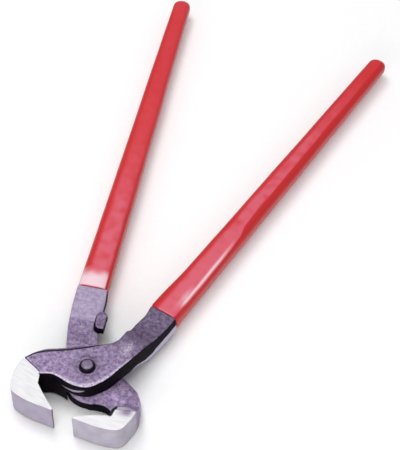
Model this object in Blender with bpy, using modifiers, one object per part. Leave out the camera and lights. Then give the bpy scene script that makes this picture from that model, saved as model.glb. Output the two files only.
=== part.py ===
"""Long-handled end-cutting nippers: two forged halves on one rivet, with dipped grips.

Frame: metres, +Z up.  The pivot axis is the Z axis, the tool lies on the lower half's cheek at
Z = 0, the jaws point along -Y and the handles along +Y.  The halves are built closed, in
millimetres about the joint plane with the cheek face upward, and are then opened by half of
REST_OPENING each.
"""
import math

import bmesh
import bpy
from mathutils import Matrix, Vector

# ---- driving dimensions, millimetres and degrees --------------------------------------------
MM = 0.001
GAP = 0.3                 # clearance between touching pieces
REST_OPENING = 21.0       # angle between the halves at rest

CHEEK = 11.5              # cheek face to joint plane
JAW_HALF_HEIGHT = 10.3    # blade width is twice this
EDGE_REACH = 35.7         # pivot axis to cutting edge
EDGE_LAND = 1.1           # narrow flat left on the cutting edge
SHOULDER_RADIUS = 15.3    # arc round the pivot that clears the other half's cheek

SHANK_HALF_THICKNESS = 6.6
LUG_TOP = 8.6             # joint plane to the top of the stop lug
LUG_BASE = 3.2            # joint plane to the underside of the stop lug
MOUTH_Y = 61.0            # where the grip begins
HANDLE_END_Y = 330.0
AXIS_AT_MOUTH_X = 13.6    # middle of the rein at the grip's mouth
AXIS_AT_END_X = 16.6

GRIP_WIDTH = (19.4, 15.8, 12.0)       # at the mouth, half-way and near the end
GRIP_THICKNESS = (13.8, 11.6, 9.8)
GRIP_WALL = 1.5

RIVET_RADIUS = 3.8
RIVET_HEAD_RADIUS = 4.7
RIVET_HEAD_HEIGHT = 3.3
RIVET_TAIL_RADIUS = 5.6

FORGED_COLOUR = (0.16, 0.13, 0.20, 1.0)
RIVET_COLOUR = (0.34, 0.29, 0.40, 1.0)
GRIP_COLOUR = (0.62, 0.045, 0.05, 1.0)


# ---- helpers ---------------------------------------------------------------------------------
def clear_scene():
    for old in list(bpy.data.objects):
        bpy.data.objects.remove(old, do_unlink=True)


def new_collection(name):
    collection = bpy.data.collections.new(name)
    bpy.context.scene.collection.children.link(collection)
    return collection


def new_material(name, colour, roughness, metallic):
    material = bpy.data.materials.new(name)
    material.use_nodes = True
    shader = material.node_tree.nodes["Principled BSDF"]
    shader.inputs["Base Color"].default_value = colour
    shader.inputs["Roughness"].default_value = roughness
    shader.inputs["Metallic"].default_value = metallic
    return material


def mesh_object(name, mesh, collection, cutter=False):
    item = bpy.data.objects.new(name, mesh)
    collection.objects.link(item)
    if cutter:
        item.hide_render = True
        item.display_type = "WIRE"
    return item


def weld(mesh):
    """Join the loose caps of a mesh made from a curve."""
    bm = bmesh.new()
    bm.from_mesh(mesh)
    bmesh.ops.remove_doubles(bm, verts=bm.verts, dist=1e-6)
    bmesh.ops.recalc_face_normals(bm, faces=bm.faces)
    bm.to_mesh(mesh)
    bm.free()


def prism(name, outline, low, high, collection, steps=5):
    """A plate between two heights.  Outline points are (x, y) corners or (x, y, True) smooth."""
    curve = bpy.data.curves.new(name, "CURVE")
    curve.dimensions = "2D"
    curve.fill_mode = "BOTH"
    curve.extrude = (high - low) * MM / 2
    curve.resolution_u = steps
    spline = curve.splines.new("BEZIER")
    spline.use_cyclic_u = True
    spline.bezier_points.add(len(outline) - 1)
    for knot, point in zip(spline.bezier_points, outline):
        kind = "AUTO" if len(point) == 3 else "VECTOR"
        knot.co = (point[0] * MM, point[1] * MM, 0)
        knot.handle_left_type = kind
        knot.handle_right_type = kind
    flat = bpy.data.objects.new(name + "_curve", curve)
    collection.objects.link(flat)
    graph = bpy.context.evaluated_depsgraph_get()
    mesh = bpy.data.meshes.new_from_object(flat.evaluated_get(graph))
    bpy.data.objects.remove(flat, do_unlink=True)
    weld(mesh)
    mesh.transform(Matrix.Translation((0, 0, (low + high) * MM / 2)))
    return mesh_object(name, mesh, collection, cutter=True)


def side_prism(name, outline, collection, steps=5):
    """A plate whose outline is (y, z), running along X."""
    item = prism(name, outline, -FAR, FAR, collection, steps)
    item.data.transform(Matrix(((0, 0, 1, 0), (1, 0, 0, 0), (0, 1, 0, 0), (0, 0, 0, 1))))
    return item


def combine(target, other, operation):
    boolean = target.modifiers.new(operation.lower(), "BOOLEAN")
    boolean.operation = operation
    boolean.solver = "EXACT"
    boolean.object = other


def baked(item, collection, name):
    """The evaluated shape of an object as a new, plain mesh object."""
    graph = bpy.context.evaluated_depsgraph_get()
    mesh = bpy.data.meshes.new_from_object(item.evaluated_get(graph))
    weld(mesh)
    return mesh_object(name, mesh, collection, cutter=True)


def rounded(item, width, segments=2, angle=35):
    bevel = item.modifiers.new("round", "BEVEL")
    bevel.width = width * MM
    bevel.segments = segments
    bevel.limit_method = "ANGLE"
    bevel.angle_limit = math.radians(angle)


def rein_section(y, width, thickness, flatness, count):
    """Points round a rounded-rectangle section of the rein at the distance y."""
    share = (y - MOUTH_Y) / (HANDLE_END_Y - MOUTH_Y)
    middle = AXIS_AT_MOUTH_X + share * (AXIS_AT_END_X - AXIS_AT_MOUTH_X)
    ring = []
    for step in range(count):
        turn = 2 * math.pi * (step + 0.5) / count
        c, s = math.cos(turn), math.sin(turn)
        across = math.copysign(abs(c) ** flatness, c) * width / 2
        up = math.copysign(abs(s) ** flatness, s) * thickness / 2
        ring.append(Vector(((middle + across) * MM, y * MM, up * MM)))
    return ring


def loft(name, rings, collection):
    """A closed body through rings of points, all with the same count, capped at both ends."""
    bm = bmesh.new()
    rows = [[bm.verts.new(point) for point in ring] for ring in rings]
    for row, following in zip(rows, rows[1:]):
        for index in range(len(row)):
            after = (index + 1) % len(row)
            bm.faces.new((row[index], row[after], following[after], following[index]))
    bm.faces.new(rows[0])
    bm.faces.new(rows[-1])
    bmesh.ops.recalc_face_normals(bm, faces=bm.faces)
    mesh = bpy.data.meshes.new(name)
    bm.to_mesh(mesh)
    bm.free()
    return mesh_object(name, mesh, collection, cutter=True)


def three_point(values, share):
    """Quadratic through the values at 0, one half and 1."""
    start, middle, end = values
    return (start * (1 - share) * (1 - 2 * share) + 4 * middle * share * (1 - share)
            + end * share * (2 * share - 1))


def rein_rings(start_y, inset, end_y, count=16, stations=9):
    """Sections of the handle, inset from the grip's outside, with a rounded far end."""
    rings = []
    round_length = 6.5 - inset
    last_y = end_y - round_length
    for step in range(stations + 1):
        y = start_y + (last_y - start_y) * step / stations
        share = (y - MOUTH_Y) / (HANDLE_END_Y - MOUTH_Y)
        width = three_point(GRIP_WIDTH, share) - 2 * inset
        thickness = three_point(GRIP_THICKNESS, share) - 2 * inset
        rings.append(rein_section(y, width, thickness, 0.62, count))
    for step in range(1, 5):
        angle = math.radians(20 * step)
        y = last_y + round_length * math.sin(angle)
        shrink = math.cos(angle)
        rings.append(rein_section(y, width * shrink, thickness * shrink, 0.7, count))
    return rings


# ---- outlines of a half, closed, cheek face up, jaw towards -X -------------------------------
BODY_OUTLINE = [
    (-20.6, -18.4), (-15.4, -16.2, True), (-10.0, -15.4, True), (-4.0, -15.6, True),
    (2.6, -14.6, True), (8.4, -11.8, True), (12.6, -6.0, True), (15.4, 0.0, True),
    (17.3, 9.0, True), (19.3, 19.0, True), (20.9, 29.0, True), (22.2, 41.0, True),
    (23.2, MOUTH_Y - 2), (23.1, MOUTH_Y), (4.0, MOUTH_Y), (4.0, MOUTH_Y - 2),
    (3.4, 46.0, True), (3.2, 35.0, True), (1.8, 25.0, True), (-3.4, 16.8, True),
    (-11.6, 8.4, True), (-20.6, 0.6, True), (-26.8, -4.2, True), (-31.8, -9.2, True),
    (-35.2, -15.2),
]
JAW_OUTLINE = [
    (-0.15, -EDGE_REACH), (-24.0, -38.3, True), (-29.4, -36.8, True), (-32.8, -31.6, True),
    (-35.2, -25.4, True), (-36.1, -19.0, True), (-35.4, -14.6), (-22.0, -17.6),
    (-18.1, -25.0), (-12.0, -28.6, True), (-0.15, -EDGE_REACH + EDGE_LAND),
]
LOWER_JAW_OUTLINE = JAW_OUTLINE[:8] + [
    (-20.9, -29.2), (-9.6, -31.6, True), (-0.15, -EDGE_REACH + EDGE_LAND),
]
ROOT_OUTLINE = [
    (-19.6, -18.8), (-15.4, -16.2, True), (-10.0, -15.4, True), (-4.6, -15.6), (-6.4, -12.2),
    (-33.0, -12.2), (-35.2, -15.2), (-28.0, -24.0),
]
BODY_PROFILE = [
    (-26.0, GAP / 2), (22.5, GAP / 2), (36.5, -SHANK_HALF_THICKNESS),
    (MOUTH_Y + 2, -SHANK_HALF_THICKNESS), (MOUTH_Y + 2, SHANK_HALF_THICKNESS),
    (51.0, SHANK_HALF_THICKNESS), (42.0, 7.4, True), (32.0, 10.2, True),
    (21.0, CHEEK), (-26.0, CHEEK),
]
LUG_TOP_OUTLINE = [
    (3.7, 40.6), (4.1, 35.1), (3.6, 32.2), (2.7, 30.9), (-1.7, 30.3), (-1.7, 35.7), (-1.6, 41.0),
    (1.7, 42.8),
]
LUG_BASE_OUTLINE = [
    (6.8, 43.8), (7.2, 38.5), (6.4, 34.0), (4.6, 30.9), (-1.7, 30.0), (-1.7, 35.7), (-1.6, 42.4),
    (2.6, 45.4),
]
BACK_LINE = [(-33.4, -15.4), (-30.0, -9.6), (-25.4, -5.2), (-19.6, -0.6), (-11.0, 7.0),
             (-4.6, 13.2), (1.6, 19.6)]
SWELL_LINE = [(-35.7, -15.6), (-34.0, -8.6), (-29.8, -2.4), (-23.6, 3.2), (-14.2, 10.2),
              (-6.6, 15.9), (0.5, 20.4)]
SWELL_LEVELS = [(0.9, 0.0), (1.9, 0.6), (3.4, 0.92), (5.4, 1.0), (7.6, 0.9), (9.3, 0.6),
                (10.6, 0.0)]      # heights and shares of the swell at the back of each half
RAMP_PROFILE = [(-27.0, -JAW_HALF_HEIGHT), (-20.4, -3.6, True), (-14.6, 1.2), (-5.0, 1.2),
                (-5.0, -16.0), (-33.0, -16.0)]
FAR = 60.0                # beyond every piece, for the ends of cutters
CUT_BEYOND = 20.0
BODY_EDGE = 0.9           # rounding of the forged edges
RAMP_TURN = -6.0          # degrees, the ground ramp of the lower jaw
THROAT_SLOPE = 0.72       # fall of the joint face towards the throat, on the lower half
THROAT_START_Y = -8.0     # where that fall begins
THROAT_LENGTH = 16.0
THROAT_TURN = 10.4        # degrees about the pivot axis
SINK_DEPTH = 3.4          # countersink for the rivet's tail
SINK_LIP = 0.02           # how far the countersink's cutter stands above the cheek
SINK_SLOPE = 0.69         # share of the tail's clearance measured square to its cone


def forged_half(name, cutters, lower):
    """One half, closed, cheek up: body, jaw, lug and rein joined, with the rivet's bore."""
    body = prism(name + "_body", BODY_OUTLINE, -CUT_BEYOND, CUT_BEYOND, cutters)
    combine(body, side_prism(name + "_levels", BODY_PROFILE, cutters), "INTERSECT")
    if lower:
        combine(body, throat_cutter(name, cutters), "DIFFERENCE")
    body = baked(body, cutters, name + "_body_cut")
    rounded(body, BODY_EDGE)

    outline = LOWER_JAW_OUTLINE if lower else JAW_OUTLINE
    jaw = prism(name + "_jaw", outline, -JAW_HALF_HEIGHT, JAW_HALF_HEIGHT, cutters)
    if lower:
        ramp = side_prism(name + "_ramp", RAMP_PROFILE, cutters)
        ramp.rotation_euler.z = math.radians(RAMP_TURN)
        combine(jaw, ramp, "DIFFERENCE")
    else:
        root = prism(name + "_root", ROOT_OUTLINE, -JAW_HALF_HEIGHT, CHEEK - 2, cutters)
        sweep = disc(name + "_sweep", SHOULDER_RADIUS, -CUT_BEYOND, GAP / 3, cutters)
        combine(root, sweep, "DIFFERENCE")
        combine(jaw, root, "UNION")
    combine(body, jaw, "UNION")
    combine(body, stop_lug(name, cutters), "UNION")
    combine(body, back_swell(name, cutters), "UNION")
    core = rein_rings(MOUTH_Y - 4, GRIP_WALL + GAP, HANDLE_END_Y - GRIP_WALL - GAP)
    combine(body, loft(name + "_core", core, cutters), "UNION")
    bore = disc(name + "_bore", RIVET_RADIUS + GAP, -CUT_BEYOND, CUT_BEYOND, cutters)
    combine(body, bore, "DIFFERENCE")
    if lower:
        combine(body, countersink(name, cutters), "DIFFERENCE")
    return baked(body, cutters, name + "_closed")


def stop_lug(name, cutters):
    """Tapered block beside the rein that stops the other half when the jaws are closed."""
    rings = []
    for outline, height in ((LUG_TOP_OUTLINE, -LUG_TOP), (LUG_BASE_OUTLINE, -LUG_BASE)):
        rings.append([Vector((x * MM, y * MM, height * MM)) for x, y in outline])
    return loft(name + "_lug", rings, cutters)


def back_swell(name, cutters):
    """Full, rounded back of the forging between the jaw and the pivot."""
    rings = []
    for height, share in SWELL_LEVELS:
        ring = []
        for back, swell in zip(BACK_LINE, SWELL_LINE):
            x = back[0] + share * (swell[0] - back[0])
            y = back[1] + share * (swell[1] - back[1])
            ring.append(Vector((x * MM, y * MM, height * MM)))
        inner = [(x + 3.0, y - 3.0) for x, y in reversed(BACK_LINE)]
        ring += [Vector((x * MM, y * MM, height * MM)) for x, y in inner]
        rings.append(ring)
    return loft(name + "_swell", rings, cutters)


def throat_cutter(name, cutters):
    """Wedge that drops the lower half's joint face away towards the throat and the jaw."""
    drop = THROAT_SLOPE * THROAT_LENGTH
    profile = [(0, GAP / 2), (0, -CHEEK), (-THROAT_LENGTH, -CHEEK), (-THROAT_LENGTH, drop)]
    wedge = side_prism(name + "_wedge", profile, cutters)
    wedge.location = (0, THROAT_START_Y * MM, 0)
    wedge.rotation_euler.z = math.radians(THROAT_TURN)
    return wedge


def disc(name, radius, low, high, collection, sides=48):
    bm = bmesh.new()
    bmesh.ops.create_cone(bm, cap_ends=True, segments=sides, radius1=radius * MM,
                          radius2=radius * MM, depth=(high - low) * MM)
    mesh = bpy.data.meshes.new(name)
    bm.to_mesh(mesh)
    bm.free()
    mesh.transform(Matrix.Translation((0, 0, (low + high) * MM / 2)))
    return mesh_object(name, mesh, collection, cutter=True)


def countersink(name, collection, sides=48):
    """Seat in the cheek face for the rivet's flush tail."""
    bm = bmesh.new()
    bmesh.ops.create_cone(bm, cap_ends=True, segments=sides,
                          radius1=(RIVET_RADIUS + GAP) * MM,
                          radius2=(RIVET_TAIL_RADIUS + GAP / SINK_SLOPE) * MM,
                          depth=SINK_DEPTH * MM)
    mesh = bpy.data.meshes.new(name)
    bm.to_mesh(mesh)
    bm.free()
    mesh.transform(Matrix.Translation((0, 0, (CHEEK - SINK_DEPTH / 2 + SINK_LIP) * MM)))
    return mesh_object(name + "_countersink", mesh, collection, cutter=True)


def place_half(closed, name, lower, material, parts):
    """Turn the closed half into its rest place: lifted onto Z = 0 and opened about the pivot."""
    mesh = closed.data.copy()
    if lower:
        mesh.transform(Matrix.Rotation(math.pi, 4, "Y"))
    item = mesh_object(name, mesh, parts)
    opening = math.radians(REST_OPENING / 2)
    item.rotation_euler.z = opening if lower else -opening
    item.location.z = CHEEK * MM
    mesh.materials.clear()
    mesh.materials.append(material)
    mesh.shade_smooth()
    mesh.set_sharp_from_angle(angle=math.radians(35))
    return item


def dipped_grip(name, lower, material, parts, cutters):
    """A closed-ended sleeve round the rein, open at the mouth."""
    outside = loft(name + "_outside", rein_rings(MOUTH_Y + GAP, 0, HANDLE_END_Y), cutters)
    cavity = rein_rings(MOUTH_Y - 5, GRIP_WALL, HANDLE_END_Y - GRIP_WALL)
    combine(outside, loft(name + "_cavity", cavity, cutters), "DIFFERENCE")
    closed = baked(outside, cutters, name + "_closed")
    return place_half(closed, name, lower, material, parts)


def pivot_rivet(material, parts):
    """Turned rivet: domed head above the upper cheek, flush conical tail in the lower one."""
    top = 2 * CHEEK
    head_start = top + GAP
    profile = []
    for step in range(7):
        angle = math.radians(90 - 11 * step)
        profile.append((RIVET_HEAD_RADIUS * math.cos(angle),
                        head_start + 0.9 + (RIVET_HEAD_HEIGHT - 0.9) * math.sin(angle)))
    profile[0] = (0.0, profile[0][1])
    tail_top = SINK_DEPTH - GAP / 1.5
    profile += [(RIVET_HEAD_RADIUS, head_start + 0.7), (RIVET_HEAD_RADIUS, head_start),
                (RIVET_RADIUS, head_start), (RIVET_RADIUS, tail_top), (RIVET_TAIL_RADIUS, 0.0),
                (0.0, 0.0)]
    bm = bmesh.new()
    knots = [bm.verts.new((x * MM, 0, z * MM)) for x, z in profile]
    for first, second in zip(knots, knots[1:]):
        bm.edges.new((first, second))
    mesh = bpy.data.meshes.new("pivot_rivet")
    bm.to_mesh(mesh)
    bm.free()
    item = mesh_object("pivot_rivet", mesh, parts)
    screw = item.modifiers.new("turn", "SCREW")
    screw.steps = 48
    screw.render_steps = 48
    screw.use_merge_vertices = True
    screw.merge_threshold = 1e-5
    mesh.materials.append(material)
    return item


def main():
    clear_scene()
    parts = new_collection("end_cutting_nippers")
    cutters = new_collection("cutters")
    forged = new_material("forged_steel", FORGED_COLOUR, 0.45, 0.8)
    rivet_steel = new_material("rivet_steel", RIVET_COLOUR, 0.35, 0.9)
    vinyl = new_material("red_vinyl", GRIP_COLOUR, 0.3, 0.0)
    for name, grip, lower in (("upper_half", "upper_grip", False),
                              ("lower_half", "lower_grip", True)):
        closed = forged_half(name, cutters, lower)
        place_half(closed, name, lower, forged, parts)
        dipped_grip(grip, lower, vinyl, parts, cutters)
    pivot_rivet(rivet_steel, parts)


main()
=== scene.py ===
"""Looks of the long-handled end-cutting nippers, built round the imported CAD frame.

Each steel half is modelled in its own frame, in millimetres: closed, cheek upward (+Z), jaw
towards -X, rein along +Y, joint plane at Z = 0.  It is then placed as the CAD places it.
"""
import math

import bmesh
import bpy
import numpy as np
from mathutils import Matrix, Vector, geometry, noise


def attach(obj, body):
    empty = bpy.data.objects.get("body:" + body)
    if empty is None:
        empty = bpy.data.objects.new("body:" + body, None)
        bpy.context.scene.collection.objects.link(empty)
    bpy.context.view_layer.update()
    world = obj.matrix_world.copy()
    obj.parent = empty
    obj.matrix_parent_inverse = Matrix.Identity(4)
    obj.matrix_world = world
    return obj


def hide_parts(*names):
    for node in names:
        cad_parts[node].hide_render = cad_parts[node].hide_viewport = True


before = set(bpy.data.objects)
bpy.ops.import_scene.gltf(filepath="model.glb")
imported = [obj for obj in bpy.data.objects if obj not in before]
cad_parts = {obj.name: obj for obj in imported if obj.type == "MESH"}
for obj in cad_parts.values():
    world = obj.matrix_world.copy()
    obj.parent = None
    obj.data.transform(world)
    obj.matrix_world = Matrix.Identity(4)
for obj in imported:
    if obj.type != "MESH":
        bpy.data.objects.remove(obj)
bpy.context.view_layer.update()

# ---- dimensions, millimetres and degrees; the same values as the CAD ------------------------
MM = 0.001
GAP = 0.3                  # clearance between faces that move on each other
REST_OPENING = 21.0        # angle between the halves at rest
CHEEK = 11.5               # thickness of one half at the lap joint
JAW_HALF_HEIGHT = 10.3
EDGE_REACH = 35.7          # from the pivot to the outer corner of the cutting edge
EDGE_LAND = 1.1
SHOULDER_RADIUS = 15.3
SHANK_HALF_THICKNESS = 6.6
SLOPE_START_Y = 22.5       # the joint face slopes down to the shank's underside between these
SLOPE_END_Y = 36.5
LUG_TOP = 8.6
LUG_BASE = 3.2
MOUTH_Y = 61.0             # where the grips start
HANDLE_END_Y = 330.0
AXIS_AT_MOUTH_X = 13.6
AXIS_AT_END_X = 16.6
GRIP_WIDTH = (19.4, 15.8, 12.0)        # at the mouth, half way and at the far end
GRIP_THICKNESS = (13.8, 11.6, 9.8)
GRIP_WALL = 1.5
CAP_LENGTH = 6.5           # rounded far end of a grip
SECTION_POWER = 0.62       # of the handle's section: 1 is an ellipse, less is squarer
RIVET_RADIUS = 3.8
RIVET_HEAD_RADIUS = 4.7
RIVET_HEAD_RIM = 0.8       # upright part of the head, below the dome
RIVET_HEAD_CHAMFER = 0.25
RIVET_TAIL_RADIUS = 5.6
RIVET_TAIL_HEIGHT = 3.2
SINK_DEPTH = 3.4
THROAT_SLOPE = 0.72
THROAT_START = 8.0
THROAT_TURN = 10.4
RAMP_TURN = -6.0

# ---- values that belong to the looks only ---------------------------------------------------
DOME_HEIGHT = 2.7          # the hammered head, a little flatter than the CAD's
MOUTH_FLARE = 1.3          # extra coat on the upper grip, on the inner side of its mouth
JAW_ROUNDING = 0.28
BACK_SLOPE = 0.86          # of the line that parts the throat side from the back, y over x
VOXEL = 0.42               # mesh size of the forged surfaces
PAINT_EDGE = 0.7           # longest mesh edge of the ground jaw, short enough to paint
PLATE_STEPS = 16           # points per curved run of a plate's outline
ROUND_SIDES = 96
THROUGH = 20.0             # height that reaches past a half on either side
AUTO_HANDLE = 2.5614       # the reach of an automatic Bezier handle is the chord over this


# ---- mesh helpers ---------------------------------------------------------------------------
def new_object(name, mesh):
    item = bpy.data.objects.new(name, mesh)
    bpy.context.scene.collection.objects.link(item)
    return item


def evaluated(item, name):
    """The evaluated shape as a plain mesh object; the source object is removed."""
    graph = bpy.context.evaluated_depsgraph_get()
    mesh = bpy.data.meshes.new_from_object(item.evaluated_get(graph))
    bpy.data.objects.remove(item, do_unlink=True)
    mesh.name = name
    return new_object(name, mesh)


def from_bmesh(bm, name):
    bmesh.ops.recalc_face_normals(bm, faces=bm.faces)
    mesh = bpy.data.meshes.new(name)
    bm.to_mesh(mesh)
    bm.free()
    return new_object(name, mesh)


def coordinates(mesh):
    flat = np.empty(len(mesh.vertices) * 3)
    mesh.vertices.foreach_get("co", flat)
    return flat.reshape(-1, 3)


def normals(mesh):
    flat = np.empty(len(mesh.vertices) * 3)
    mesh.vertices.foreach_get("normal", flat)
    return flat.reshape(-1, 3)


def set_coordinates(mesh, points):
    mesh.vertices.foreach_set("co", points.reshape(-1))
    mesh.update()


def keep_places(mesh):
    """Point attribute with each point's place in the piece's own frame, for the textures."""
    layer = mesh.attributes.new("place", "FLOAT_VECTOR", "POINT")
    layer.data.foreach_set("vector", coordinates(mesh).reshape(-1))


def add_colours(mesh, name, channels):
    """Colour attribute on the points from three channels of numbers."""
    colours = np.ones((len(mesh.vertices), 4))
    colours[:, :3] = np.stack(channels, axis=1)
    layer = mesh.color_attributes.new(name, "FLOAT_COLOR", "POINT")
    layer.data.foreach_set("color", colours.reshape(-1))


def combine(target, other, operation):
    """Boolean, applied; the tool object is removed.  Cut faces keep the tool's material."""
    boolean = target.modifiers.new("cut", "BOOLEAN")
    boolean.operation = operation
    boolean.solver = "EXACT"
    boolean.material_mode = "TRANSFER"
    boolean.object = other
    result = evaluated(target, target.name)
    bpy.data.objects.remove(other, do_unlink=True)
    return result


def rounded(item, width):
    bevel = item.modifiers.new("round", "BEVEL")
    bevel.width = width * MM
    bevel.segments = 2
    bevel.limit_method = "ANGLE"
    bevel.angle_limit = math.radians(40)
    bevel.use_clamp_overlap = True
    return evaluated(item, item.name)


def finely_divided(item, longest):
    """Edges split until none is longer than the given millimetres, for painting."""
    most_rounds = 8
    bm = bmesh.new()
    bm.from_mesh(item.data)
    for _ in range(most_rounds):
        bmesh.ops.triangulate(bm, faces=bm.faces)
        long_edges = [edge for edge in bm.edges if edge.calc_length() > longest * MM]
        if not long_edges:
            break
        bmesh.ops.subdivide_edges(bm, edges=long_edges, cuts=1)
    bmesh.ops.triangulate(bm, faces=bm.faces)
    bm.to_mesh(item.data)
    bm.free()
    return item


def remeshed(items, name, voxel, smoothing):
    """One even skin round overlapping closed shells."""
    bm = bmesh.new()
    for item in items:
        bm.from_mesh(item.data)
        bpy.data.objects.remove(item, do_unlink=True)
    joined = bpy.data.meshes.new(name)
    bm.to_mesh(joined)
    bm.free()
    skin = new_object(name, joined)
    remesh = skin.modifiers.new("skin", "REMESH")
    remesh.mode = "VOXEL"
    remesh.voxel_size = voxel * MM
    smooth = skin.modifiers.new("soften", "SMOOTH")
    smooth.factor = 0.5
    smooth.iterations = smoothing
    return evaluated(skin, name)


def smooth_step(value, low, high):
    """0 up to low, 1 from high, with a soft rise between them."""
    share = np.clip((value - low) / (high - low), 0, 1)
    return share * share * (3 - 2 * share)


def band(value, low, low_full, high_full, high):
    """1 between the two full marks, falling softly to 0 at low and high."""
    return smooth_step(value, low, low_full) * (1 - smooth_step(value, high_full, high))


def spot(x, y, centre, reach):
    """1 at a centre in plan, fading away over the reach along x and along y."""
    return np.exp(-((x - centre[0]) / reach[0]) ** 2 - ((y - centre[1]) / reach[1]) ** 2)


def distance_to_line(x, y, line):
    """Distance of plan points to a run of segments, in millimetres."""
    nearest = np.full(len(x), 1e9)
    for (ax, ay, *_), (bx, by, *_) in zip(line, line[1:]):
        run = np.array([bx - ax, by - ay])
        share = np.clip(((x - ax) * run[0] + (y - ay) * run[1]) / (run @ run), 0, 1)
        away = np.hypot(x - ax - share * run[0], y - ay - share * run[1])
        nearest = np.minimum(nearest, away)
    return nearest


# ---- outlines, as (x, y) corners and (x, y, True) smooth knots ------------------------------
BODY_OUTLINE = [
    (-19.6, -18.8), (-15.4, -16.2, True), (-10.0, -15.4, True), (-4.0, -15.6, True),
    (2.6, -14.6, True), (8.4, -11.8, True), (12.6, -6.0, True), (15.4, 0.0, True),
    (17.3, 9.0, True), (19.3, 19.0, True), (20.9, 29.0, True), (22.2, 41.0, True),
    (23.2, MOUTH_Y - 2, True), (23.2, MOUTH_Y + 5), (4.0, MOUTH_Y + 5), (4.0, MOUTH_Y - 2, True),
    (4.1, 46.0, True), (4.2, 35.0, True), (2.4, 25.0, True), (-3.4, 16.8, True),
    (-11.6, 8.4, True), (-20.6, 0.6, True), (-26.8, -4.2, True), (-31.8, -9.2, True),
    (-35.2, -15.2), (-28.0, -24.0),
]
# The body's outline runs on into the jaw; this clears it away again for the ground jaw.
JAW_SPACE = [(-44.0, -13.2), (-21.5, -18.3), (-21.5, -40.0), (-44.0, -40.0)]
JAW_OUTLINE = [
    (-0.15, -EDGE_REACH), (-24.0, -38.3, True), (-29.4, -36.8, True), (-32.8, -31.6, True),
    (-35.2, -25.4, True), (-36.1, -19.0, True), (-35.4, -14.6), (-22.0, -17.6),
    (-18.1, -25.0), (-12.0, -28.6, True), (-0.15, -EDGE_REACH + EDGE_LAND),
]
LOWER_JAW_OUTLINE = JAW_OUTLINE[:8] + [
    (-20.9, -29.2), (-9.6, -31.6, True), (-0.15, -EDGE_REACH + EDGE_LAND),
]
# Middle of the notch on the lower jaw, where a black painted shade runs, and the edge between its
# scoop and the forging.
NOTCH_LINE = [(-21.2, -28.3), (-21.4, -27.1), (-21.9, -25.6), (-22.4, -23.2), (-22.4, -20.4)]
SCOOP_LINE = [(-22.2, -20.4), (-25.1, -18.1), (-28.7, -17.3), (-31.4, -18.7), (-36.2, -22.6)]
ROOT_OUTLINE = [
    (-19.6, -18.8), (-15.4, -16.2, True), (-10.0, -15.4, True), (-4.6, -15.6), (-6.4, -12.2),
    (-33.0, -12.2), (-35.2, -15.2), (-28.0, -24.0),
]
# Side views, as (y, z).
BODY_PROFILE = [
    (-26.0, GAP / 2), (SLOPE_START_Y, GAP / 2), (SLOPE_END_Y, -SHANK_HALF_THICKNESS),
    (MOUTH_Y, -SHANK_HALF_THICKNESS), (MOUTH_Y, SHANK_HALF_THICKNESS),
    (51.0, SHANK_HALF_THICKNESS), (42.0, 7.4, True), (32.0, 10.2, True),
    (21.0, CHEEK), (-26.0, CHEEK),
]
# Stop lug, in plan.
LUG_TOP_OUTLINE = [
    (3.7, 40.6, True), (4.1, 35.1, True), (3.6, 32.2, True), (2.7, 30.9, True), (-1.7, 30.3),
    (-1.7, 35.7), (-1.6, 41.0), (1.7, 42.8, True),
]
LUG_BASE_OUTLINE = [
    (6.8, 43.8, True), (7.2, 38.5, True), (6.4, 34.0, True), (4.6, 30.9, True), (-1.7, 30.0),
    (-1.7, 35.7), (-1.6, 42.4), (2.6, 45.4, True),
]
# What is ground away behind the lower jaw, as (y, z).
RAMP_PROFILE = [
    (-27.0, -JAW_HALF_HEIGHT), (-20.4, -3.6, True), (-14.6, 1.2), (-5.0, 1.2),
    (-5.0, -16.0), (-33.0, -16.0),
]


def traced(outline, steps):
    """Plan points along an outline, with the given number of steps from knot to knot."""
    knots = [Vector(point[:2]) for point in outline]
    count = len(knots)

    def handle(index, way):
        here = knots[index % count]
        other = knots[(index + way) % count]
        if len(outline[index % count]) == 2:
            return here + (other - here) / 3
        before = knots[(index - 1) % count]
        after = knots[(index + 1) % count]
        tangent = (here - before).normalized() + (after - here).normalized()
        return here + tangent.normalized() * way * (other - here).length / AUTO_HANDLE

    points = []
    for index in range(count):
        after = (index + 1) % count
        run = geometry.interpolate_bezier(knots[index], handle(index, 1), handle(after, -1),
                                          knots[after], steps + 1)
        points += run[:-1]
    return np.array([tuple(point) for point in points])


def plan_normals(points):
    """Outward unit normals of a closed, anticlockwise run of plan points."""
    along = np.roll(points, -1, axis=0) - np.roll(points, 1, axis=0)
    across = np.stack([along[:, 1], -along[:, 0]], axis=1)
    return across / np.linalg.norm(across, axis=1)[:, None]


def stacked(name, rings):
    """Closed body through rings of points with the same count, capped at both ends."""
    bm = bmesh.new()
    rows = [[bm.verts.new(np.asarray(point) * MM) for point in ring] for ring in rings]
    for row, above in zip(rows, rows[1:]):
        for index in range(len(row)):
            after = (index + 1) % len(row)
            bm.faces.new((row[index], row[after], above[after], above[index]))
    bm.faces.new(rows[0])
    bm.faces.new(rows[-1])
    return from_bmesh(bm, name)


def at_height(points, z):
    return np.column_stack([points, np.full(len(points), z)])


def prism(name, outline, low, high):
    """Plate between two heights."""
    points = traced(outline, PLATE_STEPS)
    return stacked(name, [at_height(points, low), at_height(points, high)])


def side_prism(name, outline):
    """Plate whose outline is (y, z), running along X past both sides of a half."""
    half_width = 3 * THROUGH
    item = prism(name, outline, -half_width, half_width)
    item.data.transform(Matrix(((0, 0, 1, 0), (1, 0, 0, 0), (0, 1, 0, 0), (0, 0, 0, 1))))
    return item


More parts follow.
